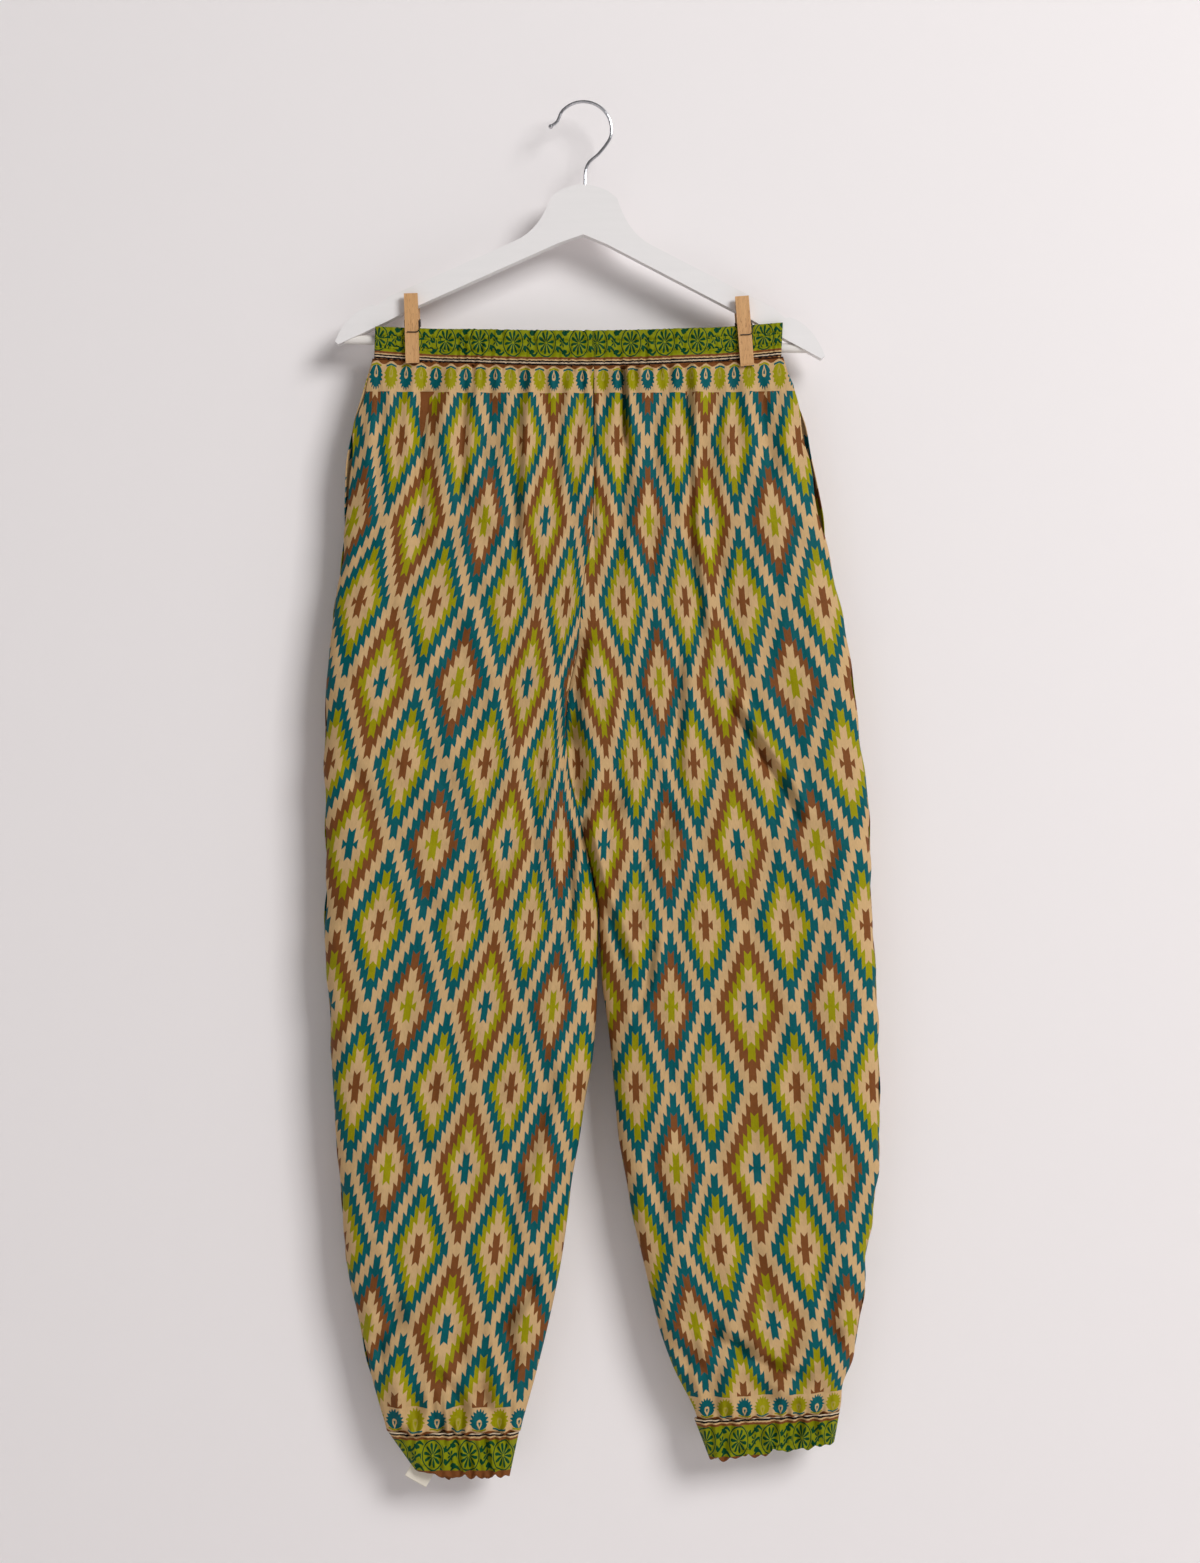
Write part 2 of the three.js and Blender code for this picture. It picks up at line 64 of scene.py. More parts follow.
# ---- the shape of the hung cloth, in millimetres ----
# one row for each section: height, both legs' outer and inner edges, front and back faces
sectionColumns = ["z", "leftOuter", "leftInner", "rightInner", "rightOuter", "front", "back"]
sections = np.array([
    [-241, -190, 9, 9, 179, -16, -6.4],
    [-251, -194, 9, 9, 182, -16.6, -4.5],
    [-262, -198, 9, 9, 188, -17.2, -2.2],
    [-271, -201, 9, 9, 193, -17.6, -0.4],
    [-289, -209, 9, 9, 200, -18.4, 2],
    [-307, -212, 9, 9, 203, -19, 4],
    [-343, -216.5, 9, 9, 210.5, -20, 6],
    [-390, -216, 8, 8, 217, -21, 7],
    [-415, -219, 2, 2, 222, -21.6, 7.6],
    [-451, -224, -2, -2, 230, -22.3, 8.3],
    [-498, -230.5, -6, -6, 240, -23, 9],
    [-532, -233, -14, -14, 244, -23.4, 9.4],
    [-567, -233.5, -17, -17, 248, -23.8, 9.8],
    [-610, -234.5, -13, -13, 254, -24.3, 10.2],
    [-650, -233.5, -3, -3, 257.5, -25, 10.5],
    [-690, -232, 5.9, 6.1, 258.7, -25, 11],
    [-726, -234, 12.6, 13.4, 260, -25, 11],
    [-770, -233.5, 12.4, 14.6, 262, -25, 11],
    [-800, -231.5, 12, 16.5, 264, -25, 11],
    [-829, -229, 11, 21, 265, -25, 11],
    [-865, -228, 8, 25, 266, -25, 11],
    [-901, -226, 1, 28, 267, -25, 11],
    [-937, -224, -4, 31, 267, -24.7, 11],
    [-973, -220, -11, 38, 265, -24.3, 10.8],
    [-1009, -218, -15, 44, 260, -24, 10.5],
    [-1045, -215, -20, 53, 255, -23.6, 10.2],
    [-1081, -208, -27, 61, 252, -23, 10],
    [-1117, -200, -35, 69, 248, -22.2, 9.2],
    [-1153, -192, -44, 81, 240, -21, 7.8],
    [-1189, -182, -54, 98, 231.5, -18.8, 5.2],
    [-1203, -177.5, -58, 103, 228, -18, 4],
], float)


def tableAt(table, column, z):
    return np.interp(-z, -table[:, 0], table[:, column])


def softTableAt(table, column, z, blur=9):
    total = 0
    for step, weight in ((-1, 0.25), (0, 0.5), (1, 0.25)):
        total = total + weight * tableAt(table, column, z + step * blur)
    return total


def sectionAt(name, z):
    return softTableAt(sections, sectionColumns.index(name), z)


# the printed cloth's grain: x of every second row of diamonds, for diamond columns half a repeat apart
repeatWidth = 77
rowHeight = 72.6
firstRowZ = -308
grainSteps = [0.5, 1.5, 2.5, 3.5, 4.5]
grain = {
    "left": np.array([
        [-200, -158, -105, -52, -1, 50],
        [-241, -160, -106, -53, -1, 50],
        [-308, -163, -109, -52, -4, 44],
        [-381, -178, -118, -60, -10, 36],
        [-454, -203, -135, -66, -15, 22],
        [-600, -230, -162, -88, -35, -6],
        [-671, -249, -172, -98, -41, 0],
        [-742, -257, -184, -108, -48, 5],
        [-886, -275, -205, -132, -65, -4],
        [-1034, -290, -218, -149, -79, -14],
        [-1171, -306, -240, -172, -94, -22],
        [-1250, -300, -240, -168, -94, -26],
    ], float),
    "right": np.array([
        [-200, 31, 84, 136, 188, 240],
        [-241, 31, 84, 136, 189, 242],
        [-308, 29, 85, 132, 193, 250],
        [-384, 33, 83, 138, 204, 265],
        [-454, 35, 92, 141, 216, 285],
        [-600, 47, 98, 162, 237, 312],
        [-742, 46, 109, 182, 255, 330],
        [-886, 46, 112, 191, 259, 330],
        [-1034, 53, 120, 198, 268, 335],
        [-1152, 75, 143, 211, 276, 340],
        [-1250, 80, 146, 207, 262, 320],
    ], float),
}


def clothU(side, x, z, shift=0):
    table = grain[side]
    columns = [softTableAt(table, i + 1, z, 25) for i in range(len(grainSteps))]
    u = np.zeros_like(x)
    last = len(columns) - 2
    for i in range(len(columns) - 1):
        low = columns[i]
        high = columns[i + 1]
        inside = (x >= low if i else True) & (x < high if i < last else True)
        t = (x - low) / (high - low)
        u = np.where(inside, (grainSteps[i] + t) * repeatWidth, u)
    if side == "right":
        u = u + repeatWidth
    return u + shift


def waistSag(x):
    return np.where(x < 0, 8 * (x / 190) ** 2, 10 * (x / 180) ** 2)


def cuffSeamZ(side, x):
    if side == "left":
        return -1201 + 0 * x
    return mix(-1190.0, -1183.0, np.clip((x - 100) / 135, 0, 1))


def cuffLift(side, x, z):
    rise = smooth(1100, 1185, -z)
    if side == "left":
        return rise * 1.0
    return rise * (14 + 7 * np.clip((x - 100) / 135, 0, 1))


# pegs: where the jaws close on the waist
pegPlaces = [{"side": "left", "x": -155.0}, {"side": "right", "x": 145.5}]


def pinchAt(x, z):
    near = np.maximum(*[1 - smooth(20, 62, np.abs(x - peg["x"])) for peg in pegPlaces])
    return near * smooth(-285, -243, z)


# ---- folds: soft troughs (+) and ridges (-) ----
creaseColumns = ["x0", "z0", "x1", "z1", "width", "depth", "lean"]
creases = {
    "front": [
        [35, -236, 38, -305, 2.6, 6, 0.5],
        [38, -290, 30, -420, 7, 2.4, 0.4],
        [-146, -262, -149, -410, 5, 3.6, -0.5],
        [-108, -262, -110, -362, 5, 2.4, 0.4],
        [-59, -268, -62, -420, 5, 3.2, 0.6],
        [-84, -255, -92, -330, 5, 1.8, 0],
        [-20, -250, -26, -350, 5, 2.2, 0],
        [9, -245, 9, -400, 2.2, 1.6, 0],
        [64, -258, 62, -400, 6, 2.0, 0],
        [93, -255, 97, -410, 4, 3.4, 0.6],
        [97, -400, 105, -480, 5, 3.2, 0.6],
        [85, -500, 83, -615, 6, 3.0, 0.4],
        [107, -296, 125, -446, 9, 3.0, -0.3],
        [160, -262, 168, -340, 6, 2.0, 0],
        [129, -541, 175, -611, 4.5, 5.0, 0.7],
        [175, -611, 194, -653, 6, 4.4, 0.5],
        [-6, -487, -15, -532, 4, 4.5, -0.8],
        [-15, -532, -20, -580, 5, 5.0, -0.8],
        [-10, -560, -8, -634, 10, 7.5, 0.2],
        [-1, -650, 10, -706, 4.5, 6.0, 0.8],
        [10, -700, 17, -730, 4, 5.0, 0.7],
        [-6, -640, 34, -636, 9, 3.6, 0],
        [17, -726, 38, -778, 6, 5.0, 0.4],
        [76, -639, 47, -702, 5.5, 4.6, -0.5],
        [62, -755, 56, -796, 5, 3.6, 0.4],
        [56, -796, 46, -826, 5, 2.6, 0.3],
        [-14, -660, -13, -745, 6, 4.4, 0.3],
        [-40, -560, -48, -700, 9, 2.4, 0],
        [-226, -551, -190, -551, 2.6, 1.8, 0],
        [-212, -600, -188, -640, 7, 2.0, 0],
        [-168, -944, -120, -941, 2.6, 2.4, 0],
        [-120, -941, -106, -948, 2.4, 1.6, 0],
        [102, -975, 125, -972, 2.4, 1.8, 0],
        [130, -960, 158, -964, 2.4, 1.6, 0],
        [-30, -880, -52, -960, 9, 3.0, 0],
        [-60, -965, -70, -1040, 9, 2.4, 0],
        [-42, -1059, -74, -1106, 7, 4.6, 0.4],
        [-74, -1106, -58, -1142, 8, 3.8, 0.2],
        [-168, -1076, -189, -1140, 8, 4.4, -0.4],
        [-130, -1150, -105, -1185, 6, 2.6, 0],
        [-92, -1160, -80, -1192, 5, 2.4, 0],
        [114, -1114, 150, -1140, 8, 4.6, 0.4],
        [150, -1140, 186, -1162, 7, 5.0, 0.4],
        [98, -1120, 112, -1176, 6, 3.0, 0],
        [214, -1060, 228, -1130, 8, 3.0, 0],
        [60, -940, 70, -1010, 9, 2.6, 0],
        [150, -1030, 162, -1080, 10, 2.0, 0],
    ],
    "back": [
        [-146, -260, -152, -400, 6, 3.2, 0.4],
        [-96, -258, -100, -370, 5, 2.8, -0.3],
        [-40, -256, -44, -390, 5, 3.2, 0.4],
        [30, -256, 27, -350, 5, 2.4, 0],
        [84, -258, 90, -420, 6, 3.2, -0.3],
        [150, -262, 158, -380, 5, 2.8, 0],
        [5, -300, 9, -640, 4, 1.8, 0],
        [-90, -590, -16, -700, 9, 4.8, 0.4],
        [100, -580, 40, -700, 9, 4.8, -0.4],
        [-60, -660, 2, -720, 7, 3.6, 0.3],
        [70, -670, 26, -722, 7, 3.6, -0.3],
        [-150, -800, -120, -900, 12, 2.6, 0],
        [150, -820, 172, -930, 12, 2.6, 0],
        [-176, -1080, -110, -1120, 8, 4.4, 0.3],
        [-60, -1100, -96, -1160, 7, 4.0, 0],
        [226, -1080, 160, -1120, 8, 4.4, 0.3],
        [100, -1110, 140, -1165, 7, 4.0, 0],
    ],
}


creaseScale = 1.9


def creaseDepth(face, x, z):
    depth = np.zeros_like(x)
    for x0, z0, x1, z1, width, deep, lean in creases[face]:
        alongX, alongZ = x1 - x0, z1 - z0
        length = math.hypot(alongX, alongZ)
        t = ((x - x0) * alongX + (z - z0) * alongZ) / length ** 2
        ends = smooth(-0.18, 0.18, t) * (1 - smooth(0.82, 1.18, t))
        away = ((x - x0) * alongZ - (z - z0) * alongX) / length / width
        if alongZ < 0:
            away = -away
        deep = deep * creaseScale
        depth += deep * ends * np.exp(-away ** 2)
        depth -= lean * deep * ends * np.exp(-((away - 1.7) ** 2) / 1.4)
    return depth


def waveNoise(x, z, seed, lengthX, lengthZ, count=14):
    random = np.random.default_rng(seed)
    total = np.zeros_like(x)
    for _ in range(count):
        fx = random.uniform(0.6, 1.7) / lengthX * random.choice([-1, 1])
        fz = random.uniform(0.3, 1.4) / lengthZ
        total += np.sin(2 * math.pi * (fx * x + fz * z) + random.uniform(0, 6.28))
    return total / math.sqrt(count)


def gathers(x, z, seamDistance, seed, pitch):
    fine = waveNoise(x, z, seed, pitch, 160)
    broad = waveNoise(x, z, seed + 1, pitch * 2.6, 300)
    near = np.exp(-seamDistance / 16)
    far = np.exp(-seamDistance / 55)
    return 2.4 * fine * near + 3.4 * broad * far * smooth(0, 10, seamDistance)


# ---- making sheets ----
def gridSheet(name, columns, rows, shape, closed=False):
    bm = bmesh.new()
    bmesh.ops.create_grid(bm, x_segments=columns, y_segments=rows, size=1)
    s = np.array([v.co.x for v in bm.verts]) / 2 + 0.5
    t = 0.5 - np.array([v.co.y for v in bm.verts]) / 2
    x, y, z, u, v = shape(s, t)
    for vert, px, py, pz in zip(bm.verts, x, y, z):
        vert.co = (px * mm, py * mm, pz * mm)
    bm.verts.ensure_lookup_table()
    uvLayer = bm.loops.layers.uv.new("cloth")
    for face in bm.faces:
        for loop in face.loops:
            i = loop.vert.index
            loop[uvLayer].uv = (u[i] * mm, v[i] * mm)
        face.smooth = True
    if closed:
        bmesh.ops.remove_doubles(bm, verts=bm.verts, dist=0.02 * mm)
    mesh = bpy.data.meshes.new(name)
    bm.to_mesh(mesh)
    bm.free()
    piece = bpy.data.objects.new(name, mesh)
    bpy.context.collection.objects.link(piece)
    return piece


def turnOut(piece, outward):
    mesh = piece.data
    total = sum(poly.normal.dot(outward(poly.center)) for poly in mesh.polygons)
    if total < 0:
        mesh.flip_normals()


def thicken(piece, wall):
    solid = piece.modifiers.new("wall", "SOLIDIFY")
    solid.thickness = wall * mm
    solid.offset = -1
    solid.use_even_offset = False


def risen(d, round_):
    return np.sqrt(np.clip(1 - (1 - np.clip(d / round_, 0, 1)) ** 2, 0, 1))


pocket = {"top": -262, "bottom": -391, "gape": 3.0, "shift": 4.0}


def mouthAt(z):
    t = (z - pocket["bottom"]) / (pocket["top"] - pocket["bottom"])
    return np.where((t > 0) & (t < 1), np.sqrt(np.sin(math.pi * np.clip(t, 0, 1))), 0)


panelStyle = {"columns": 146, "rows": 232, "wall": 0.6, "sideRound": 34, "edgeCrowd": 0.55, "flat": (0.36, 1.0)}


def panelShape(side, face):
    inward = 1 if side == "left" else -1
    outY = -1 if face == "front" else 1
    seed = {"left": 3, "right": 11}[side] + {"front": 0, "back": 40}[face]

    def shape(s, t):
        crowd = panelStyle["edgeCrowd"]
        across = s - crowd * np.sin(2 * math.pi * s) / (2 * math.pi)
        z = mix(-241.0, -1203.0, t)
        open_ = smooth(crotchZ, openZ, z)
        outer = sectionAt(side + "Outer", z)
        centre = sectionAt(side + "Inner", z)
        if face == "back":
            straight = mix(5.0, sections[16][2 if side == "left" else 3], (z + 241) / (crotchZ + 241))
            centre = np.where(z > crotchZ, straight, centre)
        centre = centre - inward * 0.15 * open_
        mouth = mouthAt(z)
        if face == "front":
            outer = outer + inward * pocket["shift"] * mouth
        outer = outer + inward * 0.9 * waveNoise(0 * z, z, seed, 60, 60) * (1 - smooth(-260, -241, z))
        if face == "back":
            outer = outer - inward * 0.0
        width = np.abs(centre - outer)
        d = across * width
        x = outer + inward * d
        seamRise = risen(width - d, panelStyle["sideRound"])
        rise = risen(d, panelStyle["sideRound"]) * mix(seamRise, 1, open_)
        pinch = pinchAt(x, z)
        front = mix(sectionAt("front", z), -10.4, pinch)
        back = mix(sectionAt("back", z), -6.4, pinch)
        middle = (front + back) / 2
        flatY = front if face == "front" else back
        seamDistance = -241 - z
        toCuff = z + 1201
        wrinkle = gathers(x, z, seamDistance, seed, 11.0) * (1 - 0.9 * pinch)
        wrinkle += 1.1 * gathers(x, z, toCuff, seed + 5, 13.0)
        wrinkle += 0.9 * waveNoise(x, z, seed + 9, 46, 80)
        wrinkle += 0.16 * waveNoise(x, z, seed + 12, 12, 20, 20)
        puff = smooth(1020, 1140, -z) * waveNoise(x, z, seed + 15, 58, 44) * 2.6
        relief = creaseDepth(face, x, z) - wrinkle - puff
        inSide = smooth(0, 16, d)
        inCentre = mix(smooth(0, 16, width - d), 1, open_)
        relief = relief * inSide * inCentre
        y = mix(middle, flatY - outY * relief, rise)
        gap = 0.15 + (pocket["gape"] * mouth if face == "front" else 0)
        y = y + outY * gap * (1 - np.clip(rise * 3, 0, 1))
        sag = waistSag(x) * smooth(-280, -241, z)
        bottom = cuffSeamZ(side, x) + 0.15
        zz = z - 0.15 + sag
        fraction = np.clip((z + 1040) / (-1203 + 1040), 0, 1) ** 1.5
        zz = zz + fraction * (bottom + 1203 + 0.15)
        v = firstRowZ - (z + sag * 0.2)
        u = clothU(side, x, z, 0 if face == "front" else repeatWidth / 2)
        return x, y, zz, u, v
    return shape


# ---- shader maths ----
class Number:
    def __init__(self, finish, socket):
        self.finish = finish
        self.socket = socket

    def math(self, operation, *others):
        inputs = {0: self.socket}
        for i, other in enumerate(others):
            inputs[i + 1] = other.socket if isinstance(other, Number) else other
        return Number(self.finish, self.finish.node("ShaderNodeMath", {"operation": operation}, inputs).outputs[0])

    def reflected(self, operation, other):
        inputs = {0: other, 1: self.socket}
        return Number(self.finish, self.finish.node("ShaderNodeMath", {"operation": operation}, inputs).outputs[0])

    def __add__(self, other): return self.math("ADD", other)
    def __radd__(self, other): return self.math("ADD", other)
    def __sub__(self, other): return self.math("SUBTRACT", other)
    def __rsub__(self, other): return self.reflected("SUBTRACT", other)
    def __mul__(self, other): return self.math("MULTIPLY", other)
    def __rmul__(self, other): return self.math("MULTIPLY", other)
    def __truediv__(self, other): return self.math("DIVIDE", other)
    def __lt__(self, other): return self.math("LESS_THAN", other)
    def __gt__(self, other): return self.math("GREATER_THAN", other)
    def size(self): return self.math("ABSOLUTE")
    def floor(self): return self.math("FLOOR")
    def power(self, other): return self.math("POWER", other)
    def sine(self): return self.math("SINE")
    def smaller(self, other): return self.math("MINIMUM", other)
    def larger(self, other): return self.math("MAXIMUM", other)

    def centred(self, pitch, offset=0.0):
        return (self - offset + pitch / 2).math("FLOORED_MODULO", pitch) - pitch / 2

    def cell(self, pitch, offset=0.0):
        return ((self - offset) / pitch + 0.5).floor()


class Finish:
    def __init__(self, name, roughness=0.6, metallic=0.0, **constants):
        self.material = bpy.data.materials.new(name)
        self.material.use_nodes = True
        self.nodes = self.material.node_tree.nodes
        self.links = self.material.node_tree.links
        self.shader = self.nodes["Principled BSDF"]
        self.set("Roughness", roughness)
        self.set("Metallic", metallic)
        for key, value in constants.items():
            self.set(key.replace("_", " "), value)

    def set(self, socket, value):
        if isinstance(value, Number):
            self.links.new(value.socket, self.shader.inputs[socket])
        elif hasattr(value, "is_output"):
            self.links.new(value, self.shader.inputs[socket])
        else:
            self.shader.inputs[socket].default_value = value

    def node(self, kind, settings=None, inputs=None):
        made = self.nodes.new(kind)
        for key, value in (settings or {}).items():
            setattr(made, key, value)
        for key, value in (inputs or {}).items():
            if hasattr(value, "is_output"):
                self.links.new(value, made.inputs[key])
            elif isinstance(value, Number):
                self.links.new(value.socket, made.inputs[key])
            else:
                made.inputs[key].default_value = value
        return made

    def blend(self, mask, under, over, way="MIX"):
        made = self.node("ShaderNodeMix", {"data_type": "RGBA", "blend_type": way}, {0: mask, 6: under, 7: over})
        return made.outputs[2]

    def noise(self, vector, scale, detail=2.0, stretch=None):
        if stretch:
            vector = self.node("ShaderNodeMapping", None, {"Vector": vector, "Scale": stretch}).outputs[0]
        made = self.node("ShaderNodeTexNoise", None, {"Vector": vector, "Scale": scale, "Detail": detail})
        return Number(self, made.outputs[0])

    def bump(self, height, strength, distance):
        made = self.node("ShaderNodeBump", None, {"Strength": strength, "Distance": distance, "Height": height})
        self.set("Normal", made.outputs[0])

    def objectPlace(self):
        return self.node("ShaderNodeTexCoord").outputs["Object"]


def linear(red, green, blue):
    def one(value):
        value /= 255
        return value / 12.92 if value <= 0.04045 else ((value + 0.055) / 1.055) ** 2.4
    return (one(red), one(green), one(blue), 1.0)


dyes = {
    "cream": linear(203, 168, 120),
    "lime": linear(150, 144, 2),
    "brown": linear(122, 72, 34),
    "teal": linear(0, 88, 94),
    "olive": linear(134, 138, 4),
    "leaf": linear(0, 66, 40),
    "black": linear(20, 14, 16),
    "ivory": linear(222, 200, 170),
}

kilim = {
    "centreHalf": 3.4,    # half width of the middle column
    "column": 3.8,        # width of the others
    "step": 8.42,         # height of one step
    "tooth": 3.7,         # rise of the tooth on each step
    "shoulder": 1.0,      # the middle column stands this much higher, the others lower
    "cream": 34.3,        # reach of each ring from the middle
    "second": 49.3,
    "outer": 68.0,
    "cross": 14.2,
}


def steppedDiamond(du, dv):
    x = du.size()
    y = dv.size()
    sideColumn = x > kilim["centreHalf"]
    steps = (x - kilim["centreHalf"]) / kilim["column"]
    whole = steps.floor()
    inColumn = steps - whole
    middleFraction = x / kilim["centreHalf"]
    number = sideColumn * (whole + 1)
    fraction = sideColumn * inColumn + (1 - sideColumn) * middleFraction
    return y + number * kilim["step"] + (1 - fraction) * kilim["tooth"] + (sideColumn * 2 - 1) * kilim["shoulder"]


def kilimColour(finish, u, v):
    pitch = repeatWidth
    row = rowHeight
    duA = u.centred(pitch, pitch / 2)
    dvA = v.centred(2 * row)
    duB = u.centred(pitch)
    dvB = v.centred(2 * row, row)
    turn = (u.cell(pitch) / 2).math("FRACT") > 0.25   # 1 on every other diamond of a B row
    cream = dyes["cream"]
    colour = cream

    def lay(colour, height, outer, second, cross):
        colour = finish.blend(height < kilim["outer"], colour, outer)
        colour = finish.blend(height < kilim["second"], colour, second)
        colour = finish.blend(height < kilim["cream"], colour, cream)
        return finish.blend(height < kilim["cross"], colour, cross)

    heightA = steppedDiamond(duA, dvA)
    heightB = steppedDiamond(duB, dvB)
    colour = lay(colour, heightA, dyes["teal"], dyes["lime"], dyes["brown"])
    outerB = finish.blend(turn, dyes["teal"], dyes["brown"])
    secondB = finish.blend(turn, dyes["brown"], dyes["lime"])
    crossB = finish.blend(turn, dyes["lime"], dyes["teal"])
    under = colour
    over = lay(under, heightB, outerB, secondB, crossB)
    return finish.blend(heightB < kilim["outer"], under, over)


def borderColour(finish, u, s, under):
    pitch = 19.25
    du = u.centred(pitch)
    isLime = (u.cell(pitch) / 2).math("FRACT") > 0.25
    colour = finish.blend(s > 0, under, dyes["cream"])
    feather = finish.blend(isLime, dyes["teal"], dyes["lime"])
    other = finish.blend(isLime, dyes["lime"], dyes["teal"])
    # a feather is a round fan with a serrated edge, drawn out towards the hem side
    fromEye = (s - 12.8) * (0.76 + (s > 12.8) * 0.24)
    angle = du.math("ARCTAN2", fromEye * -1)
    radius = (du.power(2) + fromEye.power(2)).math("SQRT")
    serrated = (angle * 17).sine() * (s < 15)
    reach = serrated + 7.9
    colour = finish.blend((radius < reach) * (s > 0.8), colour, feather)
    eye = s - 15.2
    drop = du.size() < (eye * -0.42 + 2.3).smaller((5.6 - eye.size()) * 0.9).smaller(2.3)
    drop = drop * (eye > -4.4)
    core = du.size() < (eye * -0.3 + 0.8).smaller(1.0)
    core = core * (eye > -2.2) * (eye < 2.2)
    colour = finish.blend(drop * (1 - isLime * 0.7), colour, dyes["cream"])
    colour = finish.blend(core, colour, feather)
    calyx = (du.size() < 6.4) * (s > 21.0 - du.size() * 0.28) * (s < 22.6 - du.size() * 0.28)
    colour = finish.blend(calyx, colour, other)
    arch = (u * (2 * math.pi / pitch)).math("COSINE") * 1.5 + 22.8
    colour = finish.blend(s > arch, colour, dyes["brown"])
    for start, end, dye in ((24.9, 26.3, "black"), (26.3, 27.4, "ivory"), (27.4, 28.8, "black"),
                            (28.8, 30.0, "cream"), (30.0, 32.0, "brown")):
        colour = finish.blend((s > start) * (s < end), colour, dyes[dye])
    # the band of round flowers in vine scrolls
    wide = 44.0
    across = s - 45
    ringU = u.centred(wide)
    ring = (ringU.power(2) + across.power(2)).math("SQRT")
    turn = ringU.math("ARCTAN2", across)
    petals = (turn * 10).sine() > (ring / 10.6).power(6) * 1.15 - 0.4
    wheel = (ring < 10.6) * petals * (ring > 1.3)
    vine = (ring > 12.0) * (ring < 13.2)
    leafU = u.centred(wide, wide / 2)
    leafRing = (leafU.power(2) + across.power(2)).math("SQRT")
    leafTurn = leafU.math("ARCTAN2", across)
    leaf = (leafRing < 10.5) * ((leafTurn * 5).sine() + (leafRing * 0.85).sine() * 0.8 > 0.4) * (ring > 14.2)
    scroll = ((across * 0.6 + (u * (4 * math.pi / wide)).sine() * 2.2).sine() > 0.7) * (ring > 14.2)
    bandColour = finish.blend(wheel.larger(vine).larger(leaf).larger(scroll), dyes["olive"], dyes["leaf"])
    colour = finish.blend((s > 32) * (s < 58), colour, bandColour)
    return finish.blend(s > 58, colour, dyes["brown"])


def printedCloth(name, borderOnly=False):
    finish = Finish(name, roughness=0.46, Specular_IOR_Level=0.1)
    uv = finish.node("ShaderNodeUVMap", {"uv_map": "cloth"}).outputs[0]
    parts = finish.node("ShaderNodeSeparateXYZ", None, {0: uv})
    wobble = finish.noise(uv, 260, 1.0)
    u = Number(finish, parts.outputs[0]) * 1000 + (wobble - 0.5) * 0.9
    v = Number(finish, parts.outputs[1]) * 1000 + (finish.noise(uv, 300, 1.0) - 0.5) * 0.9
    top = -43 - v
    bottom = v - 12 * rowHeight
    s = top.larger(bottom)
    colour = dyes["cream"] if borderOnly else kilimColour(finish, u, v)
    if not hasattr(colour, "is_output"):
        colour = finish.blend(0.0, colour, colour)
    colour = borderColour(finish, u, s, colour)
    slub = finish.noise(uv, 900, 3.0, (1, 0.25, 1))
    patchy = finish.noise(uv, 28, 3.0)
    light = slub * 0.3 + patchy * 0.2 + 0.76
    shade = finish.node("ShaderNodeCombineColor", None, {0: light, 1: light, 2: light}).outputs[0]
    colour = finish.blend(1.0, colour, shade, "MULTIPLY")
    finish.set("Base Color", colour)
    finish.set("Roughness", slub * 0.2 + 0.42)
    threads = ((u * (2 * math.pi / 0.62)).sine() + (v * (2 * math.pi / 0.62)).sine()) * 0.25
    crinkle = finish.noise(uv, 330, 3.0, (1, 0.6, 1))
    crumple = finish.noise(uv, 70, 3.0, (1, 0.7, 1))
    finish.bump(threads * 0.12 + crinkle * 0.5 + crumple * 1.8, 0.6, 0.0012)
    return finish.material


def plainCloth(name, dye):
    finish = Finish(name, roughness=0.8, Sheen_Weight=0.15)
    place = finish.objectPlace()
    weave = finish.noise(place, 1400, 2.0)
    finish.set("Base Color", finish.blend(weave, linear(*dye), linear(*[min(255, c * 1.06) for c in dye])))
    finish.bump(weave, 0.3, 0.0003)
    return finish.material


def paintedWood(name, tone):
    finish = Finish(name, roughness=0.4, Coat_Weight=0.25, Coat_Roughness=0.25)
    place = finish.objectPlace()
    grainLine = finish.noise(place, 60, 4.0, (0.25, 3, 3))
    finish.set("Base Color", finish.blend(grainLine, linear(*tone), linear(*[c - 6 for c in tone])))
    finish.set("Roughness", grainLine * 0.15 + 0.34)
    finish.bump(grainLine, 0.12, 0.0004)
    return finish.material


def bareBeech():
    finish = Finish("bareBeech", roughness=0.62)
    place = finish.objectPlace()
    long = finish.noise(place, 420, 4.0, (1, 1, 0.07))
    flecks = finish.noise(place, 1500, 2.0, (1, 1, 0.12))
    colour = finish.blend(long, linear(226, 178, 122), linear(186, 134, 82))
    colour = finish.blend((flecks > 0.62) * 0.55, colour, linear(150, 100, 58))
    finish.set("Base Color", colour)
    finish.set("Roughness", long * 0.25 + 0.5)
    finish.bump(flecks * 0.5 + long, 0.25, 0.0003)
    return finish.material


def metal(name, tone, roughness):
    finish = Finish(name, roughness=roughness, metallic=1.0)
    place = finish.objectPlace()
    smear = finish.noise(place, 300, 2.0)
    finish.set("Base Color", finish.blend(smear, linear(*tone), linear(*[c * 0.93 for c in tone])))
    finish.set("Roughness", smear * 0.12 + roughness)
    return finish.material


print("camera and light")
stageSettings = {
    "cameraAway": 2.2, "frameHeight": 1.407, "centre": (0.0144, -0.6147),
    "wallY": 0.034, "floorZ": -1.75,
    "keyPower": 176.0, "fillPower": 4.0, "sky": 0.17,
}


